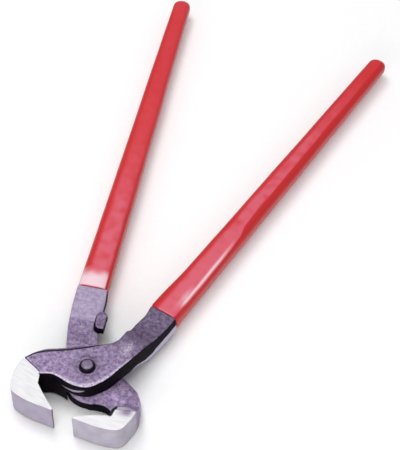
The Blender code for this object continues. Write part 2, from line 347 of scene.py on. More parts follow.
# Sizes along the forging's sides: stations along one axis, then the size at each of them.
TOP_BY_Y = ((21.0, 32.0, 42.0, 51.0), (CHEEK, 10.2, 7.4, SHANK_HALF_THICKNESS))
BACK_BY_X = ((-36.0, -33.0, -28.0, -12.0, -4.0), (1.0, 2.6, 4.6, 4.4, 2.6))
UPPER_INNER_BY_Y = ((16.0, 26.0, 33.0, 46.0, 60.0), (2.2, 1.9, 1.2, 0.8, 0.1))
LOWER_INNER_BY_Y = ((16.0, 26.0, 33.0, 50.0, 60.0), (2.2, 2.2, 2.3, 1.9, 0.5))
UPPER_INNER_PULL_BY_Y = ((12.0, 24.0, 32.0, 43.0, 53.0, 60.0), (0.0, 1.0, 0.9, 0.5, 1.3, 0.4))
UPPER_RIDGE_BY_Y = ((-4.0, 10.0, 22.0, 34.0), (0.0, 0.3, 0.6, 0.0))
EDGE_INSET_BY_Y = ((-8.0, 0.0, 18.0, 30.0, 41.0, 58.0), (0.0, 0.6, 0.7, 0.8, 1.0, 0.9))


def body_swell(points, z, lower):
    """How far the side of the forging stands out beyond the cheek's edge, at the height z."""
    x, y = points[:, 0], points[:, 1]
    top = np.interp(y, *TOP_BY_Y)

    # The back is fully rounded: it swells most at back_height and is drawn in at the joint.
    back_height, back_reach = 5.0, 6.5
    round_back = max(0.0, 1 - ((z - back_height) / back_reach) ** 2)
    lap_pull = 1.5 * max(0.0, 1 - abs(z) / 3.0)
    back = np.interp(x, *BACK_BY_X) * round_back - lap_pull

    # The side between the handles has a plain draft.
    draft = np.clip((top - z) / (top + 3.0), 0, 1)
    if lower:
        inner = np.interp(y, *LOWER_INNER_BY_Y) * draft
        ridge = 0.0
    else:
        inner = np.interp(y, *UPPER_INNER_BY_Y) * draft - np.interp(y, *UPPER_INNER_PULL_BY_Y)
        ridge = np.interp(y, *UPPER_RIDGE_BY_Y)

    # The outer side has its parting line at ridge_height, and draws in above and below it.
    ridge_height, underside_pull = -2.5, 0.8
    rise = np.clip((z - ridge_height) / (top - ridge_height), 0, 1)
    fall = np.clip((ridge_height - z) / (SHANK_HALF_THICKNESS + ridge_height), 0, 1)
    outer = ridge * (1 - rise) ** 0.8 - np.interp(y, *EDGE_INSET_BY_Y) * rise ** 1.6
    outer -= (ridge + underside_pull) * fall ** 2

    beyond_throat = smooth_step(y - BACK_SLOPE * x, 8.0, 14.0)
    at_back = beyond_throat * (1 - smooth_step(x, -6.0, -0.5))
    at_inner = beyond_throat * smooth_step(12.0 - x, 0.0, 6.0) * (1 - at_back)
    at_outer = smooth_step(x, 6.0, 11.0)
    swell = outer * at_outer + inner * at_inner + back * at_back
    return swell * (1 - smooth_step(y, MOUTH_Y + 1, MOUTH_Y + 4))


def drafted_body(name, lower):
    """The half's plan as a body whose sides swell as a forging's do."""
    points = traced(BODY_OUTLINE, steps=14)
    outward = plan_normals(points)
    if outward[0] @ (points[0] - points.mean(0)) < 0:
        outward = -outward
    lowest, highest, levels = -8.5, 13.5, 45
    rings = []
    for z in np.linspace(lowest, highest, levels):
        swell = body_swell(points, min(z, CHEEK), lower)
        ring = points + outward * swell[:, None]
        rings.append(at_height(ring, z))
    return stacked(name, rings)


def stop_lug(name):
    """Tapered block that stops the other half when the jaws are closed."""
    return stacked(name, [at_height(traced(LUG_TOP_OUTLINE, steps=8), -LUG_TOP),
                          at_height(traced(LUG_BASE_OUTLINE, steps=8), -LUG_BASE)])


def cone(name, low_radius, high_radius, low, high):
    """Cone or disc about the pivot, between two heights."""
    bm = bmesh.new()
    bmesh.ops.create_cone(bm, cap_ends=True, segments=ROUND_SIDES, radius1=low_radius * MM,
                          radius2=high_radius * MM, depth=(high - low) * MM,
                          matrix=Matrix.Translation((0, 0, (low + high) * MM / 2)))
    return from_bmesh(bm, name)


def countersink(name):
    """Seat of the rivet's tail, in the outer face of the lower half."""
    overlap = 0.02
    high = CHEEK + overlap
    return cone(name, RIVET_RADIUS + GAP, RIVET_TAIL_RADIUS + 1.45 * GAP, high - SINK_DEPTH, high)


def throat_cutter(name):
    """Wedge that drops the lower half's joint face away towards the throat and the jaw."""
    length = 16
    profile = [(0, GAP / 2), (0, -CHEEK), (-length, -CHEEK), (-length, THROAT_SLOPE * length)]
    wedge = side_prism(name, profile)
    wedge.data.transform(Matrix.Translation((0, -THROAT_START * MM, 0))
                         @ Matrix.Rotation(math.radians(THROAT_TURN), 4, "Z"))
    return wedge


# ---- handles --------------------------------------------------------------------------------
def three_point(values, share):
    """Quadratic through the values at 0, one half and 1."""
    start, middle, end = values
    return (start * (1 - share) * (1 - 2 * share) + 4 * middle * share * (1 - share)
            + end * share * (2 * share - 1))


def share_along(y):
    """0 at the grips' mouth, 1 at the handle's end."""
    return (y - MOUTH_Y) / (HANDLE_END_Y - MOUTH_Y)


def axis_x(y):
    return AXIS_AT_MOUTH_X + share_along(y) * (AXIS_AT_END_X - AXIS_AT_MOUTH_X)


def rein_ring(y, width, thickness, power, count):
    """One section of the handle, a rounded oblong."""
    turn = 2 * np.pi * (np.arange(count) + 0.5) / count
    across = np.sign(np.cos(turn)) * np.abs(np.cos(turn)) ** power * width / 2
    up = np.sign(np.sin(turn)) * np.abs(np.sin(turn)) ** power * thickness / 2
    return np.column_stack([axis_x(y) + across, np.full(count, y), up])


def rein_rings(start_y, end_y, inset, count, stations, cap_steps):
    """Sections of the handle, inset from the grip's outside, with a rounded far end."""
    widest_turn = 84           # degrees; the last ring stays open enough to cap
    rings = []
    round_length = CAP_LENGTH - inset
    last_y = end_y - round_length
    for y in np.linspace(start_y, last_y, stations + 1):
        width = three_point(GRIP_WIDTH, share_along(y)) - 2 * inset
        thickness = three_point(GRIP_THICKNESS, share_along(y)) - 2 * inset
        rings.append(rein_ring(y, width, thickness, SECTION_POWER, count))
    for step in range(1, cap_steps + 1):
        angle = math.radians(widest_turn * step / cap_steps)
        y = last_y + round_length * math.sin(angle)
        shrink = math.cos(angle)
        power = SECTION_POWER + 0.3 * step / cap_steps
        rings.append(rein_ring(y, width * shrink, thickness * shrink, power, count))
    return rings


def grip_body(name, seed, lower):
    """Dipped sleeve: rounded lip at the mouth, soft unevenness along it, closed far end."""
    start_y = MOUTH_Y + GAP
    outside = rein_rings(start_y, HANDLE_END_Y, inset=0, count=72, stations=210, cap_steps=14)
    inside = rein_rings(start_y, HANDLE_END_Y - GRIP_WALL, inset=GRIP_WALL, count=72,
                        stations=24, cap_steps=8)
    lip = []
    first = outside[0]
    middle = first.mean(0)
    for back, inset in ((0.0, 0.55), (0.12, 0.28), (0.3, 0.1), (0.62, 0.0)):
        ring = (first - middle) * (1 - inset * 2 / GRIP_WIDTH[0]) + middle
        ring[:, 1] = start_y + back
        lip.append(ring)
    item = stacked(name, inside[::-1] + lip + outside[1:])
    mesh = item.data
    points = coordinates(mesh)
    direction = normals(mesh)
    offset = np.array([uneven(point, seed) for point in points])
    past_lip = smooth_step(points[:, 1] / MM, MOUTH_Y + 1, MOUTH_Y + 8)
    set_coordinates(mesh, points + direction * (offset * past_lip)[:, None])
    if not lower:
        flare_mouth(mesh)
    paint_grip(mesh, lower, seed)
    return item


def flare_mouth(mesh):
    """The coat is thicker on the inner side of the rein next to the mouth."""
    points = coordinates(mesh) / MM
    x, y = points[:, 0], points[:, 1]
    inner = 1 - smooth_step(x, AXIS_AT_MOUTH_X - 9.0, AXIS_AT_MOUTH_X)
    near_mouth = smooth_step(y, MOUTH_Y, MOUTH_Y + 3) * (1 - smooth_step(y, 66.0, 98.0))
    points[:, 0] -= MOUTH_FLARE * inner * near_mouth
    set_coordinates(mesh, points * MM)


# How strong the painted sheen on the grips' rosy tops is, and where the upper grip's ridge runs:
# by y, in millimetres.
UPPER_SHEEN_BY_Y = ((100.0, 190.0, 250.0, 310.0), (1.15, 0.95, 0.5, 0.0))
LOWER_SHEEN_BY_Y = ((100.0, 190.0, 250.0, 310.0), (0.9, 0.14, 0.10, 0.10))
RIDGE_BY_Y = ((66.0, 76.0, 100.0, 128.0, 138.0, 146.0, 200.0),
              (0.66, 0.72, 0.72, 0.68, 0.58, 0.32, 0.30))


def paint_grip(mesh, lower, seed):
    """Colour attribute tone, all painted light and shade: red = painted shade on the deep red
    flank, green = painted reflection of the floor and painted highlights, blue = painted sheen on
    the rosy top.

    The turn is the way a point faces, in degrees: 0 is level to the outside, 90 is up.  The
    place is how far across the grip a point is: -1 and 1 are its two sides.
    """
    points = coordinates(mesh) / MM
    direction = normals(mesh)
    side = -1 if lower else 1
    y = points[:, 1]
    wander = np.array([noise.noise(Vector((seed, value * 0.045, 0))) for value in y])
    mottle = np.array([noise.noise(Vector(point) * 0.18 + Vector((seed, 0, 0)))
                       for point in points])
    turn = np.degrees(np.arctan2(side * direction[:, 2], side * direction[:, 0])) + 10 * wander
    place = side * (points[:, 0] - axis_x(y)) * 2 / three_point(GRIP_WIDTH, share_along(y))
    place += 0.10 * wander

    # Painted shade on the flank and on the far side.
    deep_shade = band(turn, -14.0, 4.0, 34.0, 52.0)
    far_side = 1 - smooth_step(place, -0.75, -0.45)
    deep_shade = np.maximum(deep_shade, 0.75 * far_side)
    # Painted sheen on the top.
    rosy_sheen = smooth_step(turn, 52.0, 74.0) * smooth_step(place, -0.6, -0.25)
    rosy_sheen *= np.interp(y, *(LOWER_SHEEN_BY_Y if lower else UPPER_SHEEN_BY_Y))
    rosy_sheen = np.clip(rosy_sheen * (0.95 + 0.9 * mottle), 0, 1)
    # Painted reflection of the floor on the underside.
    pale_reflection = band(turn, -100.0, -70.0, -34.0, -14.0)
    if lower:
        # Painted reflection across the top next to the mouth.
        mouth = (1 - smooth_step(y + 3.0 * mottle, 68.0, 76.0)) * smooth_step(y, 61.4, 62.2)
        mouth *= band(turn, 50.0, 60.0, 140.0, 155.0)
        pale_reflection = np.maximum(0.5 * pale_reflection, 0.95 * mouth)
    else:
        # Painted shade beyond the ridge, and a painted highlight streak and bloom along it.
        off_ridge = place - np.interp(y, *RIDGE_BY_Y) - 0.04 * wander
        above = smooth_step(turn, 30.0, 50.0)
        deep_shade = np.maximum(deep_shade, smooth_step(off_ridge, 0.06, 0.16) * above)
        rosy_sheen *= 1 - deep_shade
        highlight_streak = np.exp(-((off_ridge + 0.05) / 0.09) ** 2) * above
        highlight_streak *= band(y, 68.0, 76.0, 108.0, 138.0)
        highlight_bloom = np.exp(-((off_ridge + 0.22) / 0.2) ** 2 - ((y - 78.0) / 7.0) ** 2) * above
        pale_reflection = np.maximum(np.maximum(0.85 * pale_reflection, highlight_streak), 0.45 * highlight_bloom)
    add_colours(mesh, "tone", (deep_shade, pale_reflection, rosy_sheen))


def uneven(point, seed):
    """Slow swell of a dipped coat, in metres."""
    x, y, z = point
    slow = noise.noise(Vector((x * 60 + seed, y * 28, z * 60)))
    fine = noise.noise(Vector((x * 220 + seed, y * 90, z * 220)))
    return (0.22 * slow + 0.05 * fine) * MM


# ---- steel halves ---------------------------------------------------------------------------
def forged_skin(name, lower):
    """Everything of a half that is left as forged, as one even skin."""
    body = drafted_body(name + "_body", lower)
    body = combine(body, side_prism(name + "_levels", BODY_PROFILE), "INTERSECT")
    body = combine(body, prism(name + "_jaw_space", JAW_SPACE, -THROUGH, THROUGH), "DIFFERENCE")
    shells = [body]
    if lower:
        shells[0] = combine(body, throat_cutter(name + "_wedge"), "DIFFERENCE")
    else:
        root = prism(name + "_root", ROOT_OUTLINE, -JAW_HALF_HEIGHT, CHEEK - 2)
        sweep = cone(name + "_sweep", SHOULDER_RADIUS, SHOULDER_RADIUS, -THROUGH, 0.1)
        shells.append(combine(root, sweep, "DIFFERENCE"))
    shells.append(stop_lug(name + "_lug"))
    skin = remeshed(shells, name, VOXEL, smoothing=6)
    roughen(skin.data, seed=11.0 if lower else 3.0)
    return skin


def roughen(mesh, seed):
    """Hammer and scale marks of the forging."""
    points = coordinates(mesh)
    direction = normals(mesh)
    lift = []
    for point in points:
        place = Vector(point) / MM
        broad = noise.noise(place * 0.16 + Vector((seed, 0, 0)))
        fine = noise.noise(place * 0.55 + Vector((0, seed, 0)))
        lift.append((0.10 * broad + 0.045 * fine) * MM)
    set_coordinates(mesh, points + direction * np.array(lift)[:, None])


def ground_jaw(name, lower):
    """The jaw, ground bright on every face, with crisp edges and a mesh fine enough to paint."""
    outline = LOWER_JAW_OUTLINE if lower else JAW_OUTLINE
    jaw = prism(name + "_jaw", outline, -JAW_HALF_HEIGHT, JAW_HALF_HEIGHT)
    if lower:
        ramp = side_prism(name + "_ramp", RAMP_PROFILE)
        ramp.data.transform(Matrix.Rotation(math.radians(RAMP_TURN), 4, "Z"))
        jaw = combine(jaw, ramp, "DIFFERENCE")
    return finely_divided(rounded(jaw, JAW_ROUNDING), PAINT_EDGE)


def wears(item, one_material):
    """The item with this as its only material."""
    item.data.materials.clear()
    item.data.materials.append(one_material)
    return item


def steel_half(name, lower, materials):
    """Forging, ground jaw and the rein inside the grip, with the bore for the rivet."""
    forged, ground = materials["forged"], materials["ground"]
    half = wears(forged_skin(name, lower), forged)
    half = combine(half, wears(ground_jaw(name, lower), ground), "UNION")
    in_grip = GRIP_WALL + GAP
    core_rings = rein_rings(MOUTH_Y - 4, HANDLE_END_Y - in_grip, inset=in_grip, count=32,
                            stations=40, cap_steps=6)
    half = combine(half, wears(stacked(name + "_core", core_rings), forged), "UNION")
    bore_radius = RIVET_RADIUS + GAP
    bore = cone(name + "_bore", bore_radius, bore_radius, -THROUGH, THROUGH)
    half = combine(half, wears(bore, forged), "DIFFERENCE")
    if lower:
        half = combine(half, wears(countersink(name + "_sink"), forged), "DIFFERENCE")
    half.name = name + "_forging"
    half.data.name = half.name
    paint_tones(half.data, lower)
    half.data.shade_smooth()
    half.data.set_sharp_from_angle(angle=math.radians(38))
    return half


# ---- painting of the steel, mostly painted light and shade ----------------------------------
def paint_tones(mesh, lower):
    """Colour attributes of a half, from where each point is and how level its surface is.

    tone: red = black painted shade, green = painted reflection of the floor and of the light,
    blue = painted highlight on the edges.  The second attribute holds painted light and shade, a
    factor on the forged colour.  jaw: the channels that jaw_tones gives.
    """
    x, y, z = (coordinates(mesh) / MM).T
    level = np.abs(normals(mesh)[:, 2])
    wall = 1 - smooth_step(level, 0.50, 0.80)
    outline = traced(BODY_OUTLINE, steps=6)
    from_edge = distance_to_line(x, y, np.vstack([outline, outline[:1]]))
    beyond_throat = y - BACK_SLOPE * x
    outer = smooth_step(x, 8.0, 12.0) * smooth_step(y, 10.0, 16.0)
    tones_of = lower_tones if lower else upper_tones
    dark_shade, pale_reflection, edge_highlight, painted_light = tones_of(x, y, z, wall, from_edge, beyond_throat, outer)
    add_colours(mesh, "tone", (dark_shade, pale_reflection, edge_highlight))
    add_colours(mesh, "painted_light", (painted_light, painted_light, painted_light))
    add_colours(mesh, "jaw", jaw_tones(x, y, z, level, lower))


def jaw_tones(x, y, z, level, lower):
    """Channels for the ground jaw: black painted shade; the forged colour, partly as painted
    shade; and how level the face is.
    """
    jaw_outline = LOWER_JAW_OUTLINE if lower else JAW_OUTLINE
    upright = 1 - smooth_step(level, 0.3, 0.9)
    # Black painted shade along the jaw's lower rim and on its throat wall.
    rim = 1 - smooth_step(np.abs(np.abs(z) - JAW_HALF_HEIGHT), 0.15, 0.5)
    underneath = (z > 0) if lower else (z < 0)
    black_jaw_shade = 0.75 * rim * underneath * upright
    throat_wall = distance_to_line(x, y, jaw_outline[7:11]) < 0.5
    black_jaw_shade = np.maximum(black_jaw_shade, throat_wall * (1 - smooth_step(level, 0.2, 0.5)))
    forged = 0.75 * smooth_step(x, -0.5, -0.25)      # the narrow land at the cutting edge
    if not lower:
        # Painted shade, in the forged colour, on the upper jaw's upright faces at its front.
        front = (1 - smooth_step(level, 0.2, 0.6)) * smooth_step(-y, 33.0, 35.0)
        return black_jaw_shade, np.maximum(forged, 0.30 * front), level

    # Black painted shade in the notch and in the corner behind the lower jaw.
    notch = 1 - smooth_step(distance_to_line(x, y, NOTCH_LINE), 1.2, 1.6)
    corner = (x > -22.0) * (y < -17.0) * (y > -28.5) * (z > -9.9)
    black_jaw_shade = np.maximum(black_jaw_shade, np.maximum(notch, corner))

    # The scoop behind the jaw: forged beyond its line, with a painted shade on its sloping faces
    # that fades into the bright top, and two spots of painted shade for its hollow.
    scoop_x, scoop_y = zip(*SCOOP_LINE[::-1])
    beyond_scoop = y - np.interp(x, scoop_x, scoop_y)
    forged = np.maximum(forged, smooth_step(beyond_scoop, -0.5, 0.5))
    blend = smooth_step(beyond_scoop, -4.0, 0.5) * smooth_step(-x, 23.0, 30.0)
    forged = np.maximum(forged, 0.75 * blend * (1 - smooth_step(level, 0.85, 0.95)))
    deep_shade = spot(x, y, (-31.2, -24.0), (2.6, 3.3))
    shallow_shade = spot(x, y, (-27.9, -25.4), (3.4, 2.5))
    hollow_shade = np.clip(0.95 * deep_shade + 0.55 * shallow_shade, 0, 0.95) * (z < -5)
    return black_jaw_shade, np.maximum(forged, hollow_shade), level


# Tones along a half, for painted light and shade: stations along one axis, then the value at
# each of them.
STRIP_HEIGHT_BY_Y = ((14.0, 20.0, 30.0, 40.0, 61.0), (0.0, 1.5, 2.6, 6.4, 7.8))
SLIVER_MIDDLE_BY_X = ((-9.0, -4.0, 1.0, 4.0, 7.2), (4.2, 4.4, 4.9, 5.8, 7.6))
SLIVER_HALF_BY_X = ((-9.0, -6.0, -1.0, 2.0, 5.0, 7.4), (0.0, 0.4, 1.0, 1.2, 0.9, 0.0))
HIGHLIGHT_WIDTH_BY_X = ((-20.0, -6.0, 4.0, 14.0, 20.0), (1.3, 2.2, 3.4, 2.8, 1.6))
UPPER_PAINTED_LIGHT_BY_Y = ((-20.0, 8.0, 22.0, 36.0, 61.0), (1.12, 1.02, 0.84, 0.54, 0.60))
LOWER_PAINTED_LIGHT_BY_Y = ((-22.0, -14.0, -4.0, 30.0), (1.7, 1.8, 1.5, 0.98))


def upper_tones(x, y, z, wall, from_edge, beyond_throat, outer):
    """The half whose cheek is seen: black painted shade on the walls, a painted highlight on the
    throat edge, a pale strip under the rein painted as a reflection of the floor, and painted
    light and shade along it.
    """
    # The pale strip low on the outer wall is a painted reflection of the floor.
    foot = np.interp(y, (SLOPE_START_Y, SLOPE_END_Y), (GAP / 2, -SHANK_HALF_THICKNESS))
    strip_top = foot + np.interp(y, *STRIP_HEIGHT_BY_Y)
    reflected_strip = outer * band(z, foot + 0.3, foot + 0.8, strip_top - 0.4, strip_top + 0.4)

    # A bright sliver on the throat wall: painted reflection of the floor.
    sliver_half = np.interp(x, *SLIVER_HALF_BY_X)
    off_middle = np.abs(z - np.interp(x, *SLIVER_MIDDLE_BY_X))
    reflected_sliver = 1 - smooth_step(off_middle, sliver_half * 0.7, sliver_half + 0.1)
    reflected_sliver *= wall * smooth_step(-y, 8.0, 11.0) * (sliver_half > 0.05)

    # Black painted shade: on the walls, a shadow ring round the rivet's head and a line along the
    # back.
    from_rivet = np.hypot(x, y)
    on_cheek = smooth_step(z, 8.5, 10.5) * (1 - wall)
    ring = 1 - smooth_step(from_rivet, RIVET_HEAD_RADIUS + 0.2, RIVET_HEAD_RADIUS + 0.7)
    back_shade_line = (1 - smooth_step(from_edge, 0.6, 1.2)) * smooth_step(beyond_throat, 4.0, 8.0)
    back_shade_line *= 1 - smooth_step(x, 9.0, 12.0)
    dark_shade = wall * (1 - reflected_strip) * (1 - reflected_sliver)
    dark_shade = np.maximum(np.maximum(dark_shade, ring * on_cheek), 0.9 * back_shade_line)
    pale_reflection = np.maximum(wall * reflected_strip, 0.8 * reflected_sliver)

    # Painted highlight along the throat edge and on the bend of the shank.
    width = np.interp(x, *HIGHLIGHT_WIDTH_BY_X)
    edge_highlight = (1 - smooth_step(from_edge, width * 0.4, width)) * (1 - wall)
    edge_highlight *= (1 - smooth_step(beyond_throat, 0.0, 6.0)) * (1 - smooth_step(y, 20.0, 34.0))
    bend_highlight = spot(x, y, (12.4, 24.0), (2.4, 5.0))
    edge_highlight = np.maximum(edge_highlight, 0.8 * bend_highlight * (1 - wall))

    # Painted light and shade: lighter towards the jaw, darker along the shank and round the
    # rivet.
    painted_light = np.interp(y, *UPPER_PAINTED_LIGHT_BY_Y)
    painted_light = painted_light * (1 - 0.22 * np.exp(-((from_rivet - 7.0) / 3.0) ** 2))
    return dark_shade, pale_reflection, edge_highlight, painted_light


def lower_tones(x, y, z, wall, from_edge, beyond_throat, outer):
    """The half below, seen from its joint side, with the ground ramp behind its jaw, and with
    painted light, shade, reflection and highlight as on the upper half.
    """
    back = smooth_step(beyond_throat, 6.0, 12.0) * smooth_step(-x, 2.0, 8.0)
    # The strip low on the outer wall is a painted reflection of the floor.
    reflected_strip = outer * (1 - smooth_step(z, 0.4, 1.2))
    # Black painted shade on the walls, left off the rounded back and the pale strip.
    dark_shade = wall * (1 - np.clip(reflected_strip + back, 0, 1))

    # Painted highlight where the shank rises towards the light, left off the lug's top, and
    # painted light on the side of the jaw root.
    shank_top = smooth_step(y, 35.5, 37.0) * smooth_step(-z, 4.5, 6.2) * (1 - wall)
    on_lug = smooth_step(-z, 7.2, 8.0) * (y < 48)
    jaw_root = smooth_step(-x, 30.0, 33.0) * smooth_step(z, -7.5, -4.5) * wall
    pale_reflection = np.maximum(wall * reflected_strip, 0.40 * shank_top * (1 - on_lug))
    pale_reflection = np.maximum(pale_reflection, 0.8 * jaw_root)

    # Painted highlight along the throat edge.
    edge_highlight = 0.6 * (1 - smooth_step(from_edge, 0.4, 1.2)) * (1 - wall)
    edge_highlight *= (1 - smooth_step(beyond_throat, 0.0, 6.0)) * (1 - smooth_step(-y, 17.0, 19.0))
    edge_highlight *= 1 - smooth_step(y, 24.0, 40.0)

    # Painted light on the joint face in the upper half's shadow, painted shade on the back and on
    # the lug's top.
    painted_light = np.interp(y, *LOWER_PAINTED_LIGHT_BY_Y) * (1 - 0.35 * back) * (1 - 0.25 * on_lug)
    return dark_shade, pale_reflection, edge_highlight, painted_light


# ---- assembly -------------------------------------------------------------------------------
def placed(item, lower):
    """Opened about the pivot and lifted, as in the CAD; the lower half is turned over."""
    turn = Matrix.Rotation(math.radians(REST_OPENING / 2 * (1 if lower else -1)), 4, "Z")
    flip = Matrix.Rotation(math.pi, 4, "Y") if lower else Matrix.Identity(4)
    keep_places(item.data)
    item.data.transform(Matrix.Translation((0, 0, CHEEK * MM)) @ turn @ flip)
    return item


def pivot_rivet(steel):
    """Turned rivet with a hammered, slightly flattened dome."""
    head_foot = 2 * CHEEK + GAP
    rim_top = head_foot + RIVET_HEAD_RIM
    profile = [(RIVET_TAIL_RADIUS, 0.0), (RIVET_RADIUS, RIVET_TAIL_HEIGHT),
               (RIVET_RADIUS, head_foot), (RIVET_HEAD_RADIUS - RIVET_HEAD_CHAMFER, head_foot),
               (RIVET_HEAD_RADIUS, head_foot + RIVET_HEAD_CHAMFER), (RIVET_HEAD_RADIUS, rim_top)]
    dome_steps = 12
    for step in range(1, dome_steps):
        angle = math.radians(90 * step / dome_steps)
        profile.append((RIVET_HEAD_RADIUS * math.cos(angle) ** 0.8,
                        rim_top + (DOME_HEIGHT - RIVET_HEAD_RIM) * math.sin(angle)))
    turn = 2 * np.pi * np.arange(ROUND_SIDES) / ROUND_SIDES
    circle = np.column_stack([np.cos(turn), np.sin(turn)])
    item = stacked("rivet_turned", [at_height(radius * circle, z) for radius, z in profile])
    item.data.materials.append(steel)
    item.data.shade_smooth()
    item.data.set_sharp_from_angle(angle=math.radians(40))
    keep_places(item.data)
    return item


# ---- materials ------------------------------------------------------------------------------
FORGED = (0.25, 0.18, 0.31, 1)
FLECK = (0.43, 0.36, 0.49, 1)
# Painted highlight on the edges.
EDGE_HIGHLIGHT = (0.66, 0.60, 0.73, 1)
# Painted reflection of the floor on the walls.
PALE_REFLECTION = ((0.44, 0.37, 0.52, 1), (0.62, 0.56, 0.69, 1))
# Black painted shade on the forging's walls.
BLACK_SHADE = ((0.002, 0.001, 0.002, 1), (0.009, 0.005, 0.012, 1))
# Black painted shade on the ground jaw.
JAW_BLACK_SHADE = (0.006, 0.003, 0.008, 1)
# Black painted shade round the rivet's dome.
RIVET_RIM_SHADE = (0.010, 0.006, 0.013, 1)
# Painted sheen on the grips' tops.
ROSY_SHEEN = (0.66, 0.105, 0.150, 1)
# Painted shade on the grips' flanks.
DEEP_RED_SHADE = (0.50, 0.016, 0.018, 1)
# Painted reflection and highlights on the grips.
PINK_REFLECTION = (0.84, 0.62, 0.68, 1)


def material(name):
    """A new material, its node tree and its shader."""
    made = bpy.data.materials.new(name)
    made.use_nodes = True
    return made, made.node_tree, made.node_tree.nodes["Principled BSDF"]


def feed(tree, node, slot, value):
    """A socket is linked to the slot; anything else is set as its value."""
    if isinstance(value, bpy.types.NodeSocket):
        tree.links.new(value, node.inputs[slot])
    else:
        node.inputs[slot].default_value = value


def mix(tree, factor, first, second, mode="MIX"):
    """Colour mix of two sockets or colours; returns the result's socket."""
    node = tree.nodes.new("ShaderNodeMix")
    node.data_type = "RGBA"
    node.blend_type = mode
    for slot, value in ((0, factor), (6, first), (7, second)):
        feed(tree, node, slot, value)
    return node.outputs[2]


def multiplied(tree, first, second):
    node = tree.nodes.new("ShaderNodeMath")
    node.operation = "MULTIPLY"
    feed(tree, node, 0, first)
    feed(tree, node, 1, second)
    return node.outputs[0]


def ramp(tree, source, stops):
    """Colour ramp from positions to grey levels or colours."""
    node = tree.nodes.new("ShaderNodeValToRGB")
    while len(node.color_ramp.elements) < len(stops):
        node.color_ramp.elements.new(0.5)
    for element, (place, value) in zip(node.color_ramp.elements, stops):
        element.position = place
        element.color = value if isinstance(value, tuple) else (value, value, value, 1)
    tree.links.new(source, node.inputs[0])
    return node.outputs[0]


def clouds(tree, scale, stretch=(1, 1, 1), **settings):
    """Noise that stays with the piece, whatever its pose; scale is per metre."""
    coords = tree.nodes.new("ShaderNodeAttribute")
    coords.attribute_name = "place"
    mapping = tree.nodes.new("ShaderNodeMapping")
    mapping.inputs["Scale"].default_value = stretch
    node = tree.nodes.new("ShaderNodeTexNoise")
    node.inputs["Scale"].default_value = scale
    for key, value in settings.items():
        node.inputs[key].default_value = value
    tree.links.new(coords.outputs["Vector"], mapping.inputs["Vector"])
    tree.links.new(mapping.outputs[0], node.inputs["Vector"])
    return node.outputs[0]


def bump(tree, height, strength, distance):
    node = tree.nodes.new("ShaderNodeBump")
    node.inputs["Strength"].default_value = strength
    node.inputs["Distance"].default_value = distance
    tree.links.new(height, node.inputs["Height"])
    return node.outputs[0]


def painted(tree, name):
    """Colour attribute of the mesh."""
    node = tree.nodes.new("ShaderNodeAttribute")
    node.attribute_name = name
    return node.outputs["Color"]


def painted_channels(tree, name):
    """The three channels of a colour attribute."""
    split = tree.nodes.new("ShaderNodeSeparateColor")
    tree.links.new(painted(tree, name), split.inputs[0])
    return split.outputs[0], split.outputs[1], split.outputs[2]


def forged_material():
    """Scaled lilac steel, mottled and flecked, with painted light and shade: black shade, a pale
    reflection, a highlight on the edges and a factor of light and shade.
    """
    made, tree, shader = material("forged_steel")
    dark_shade, pale_reflection, edge_highlight = painted_channels(tree, "tone")
    cloud = clouds(tree, scale=420, Detail=7, Roughness=0.72)
    fleck = clouds(tree, scale=1100, Detail=4, Roughness=0.7)
    base = ramp(tree, cloud, [(0.34, (0.120, 0.070, 0.165, 1)), (0.50, (0.250, 0.182, 0.310, 1)),
                              (0.66, (0.390, 0.315, 0.450, 1))])
    base = mix(tree, ramp(tree, fleck, [(0.50, 0.0), (0.72, 0.7)]), base, FLECK)
    # Painted light and shade, as a factor on the colour.
    base = mix(tree, 1.0, base, painted(tree, "painted_light"), "MULTIPLY")
    broken = ramp(tree, fleck, [(0.40, 0.20), (0.56, 1.0)])
    # Painted highlight on the edges, painted reflection, then black painted shade.
    base = mix(tree, multiplied(tree, edge_highlight, broken), base, EDGE_HIGHLIGHT)
    base = mix(tree, pale_reflection, base, mix(tree, cloud, *PALE_REFLECTION))
    base = mix(tree, dark_shade, base, mix(tree, cloud, *BLACK_SHADE))
    tree.links.new(base, shader.inputs["Base Color"])
    tree.links.new(ramp(tree, cloud, [(0.3, 0.66), (0.7, 0.50)]), shader.inputs["Roughness"])
    tree.links.new(ramp(tree, dark_shade, [(0.0, 0.30), (1.0, 0.0)]), shader.inputs["Metallic"])
    shader.inputs["Specular IOR Level"].default_value = 0.05
    tree.links.new(bump(tree, cloud, strength=0.5, distance=0.0002), shader.inputs["Normal"])
    return made


def ground_material():
    """Bright ground steel, white where it faces up or down, with painted shade that makes its
    upright faces lilac, and with the marks of its jaw channels.
    """
    made, tree, shader = material("ground_steel")
    black_jaw_shade, forged, level = painted_channels(tree, "jaw")
    lines = clouds(tree, scale=900, stretch=(0.12, 1.0, 1.0), Detail=3)
    cloud = clouds(tree, scale=150, Detail=4)
    # The lilac for upright faces, darker than the top's white, is painted shade.
    side = ramp(tree, cloud, [(0.30, (0.38, 0.345, 0.42, 1)), (0.70, (0.47, 0.435, 0.51, 1))])
    top = ramp(tree, lines, [(0.25, (0.66, 0.65, 0.67, 1)), (0.70, (0.76, 0.755, 0.77, 1))])
    base = mix(tree, ramp(tree, level, [(0.35, 0.0), (0.80, 1.0)]), side, top)
    # The forged colour, in places a painted shade, then black painted shade.
    base = mix(tree, forged, base, FORGED)
    base = mix(tree, black_jaw_shade, base, JAW_BLACK_SHADE)
    tree.links.new(base, shader.inputs["Base Color"])
    tree.links.new(ramp(tree, lines, [(0.3, 0.55), (0.7, 0.42)]), shader.inputs["Roughness"])
    shader.inputs["Metallic"].default_value = 0.15
    shader.inputs["Specular IOR Level"].default_value = 0.18
    tree.links.new(bump(tree, lines, strength=0.25, distance=0.00006), shader.inputs["Normal"])
    return made


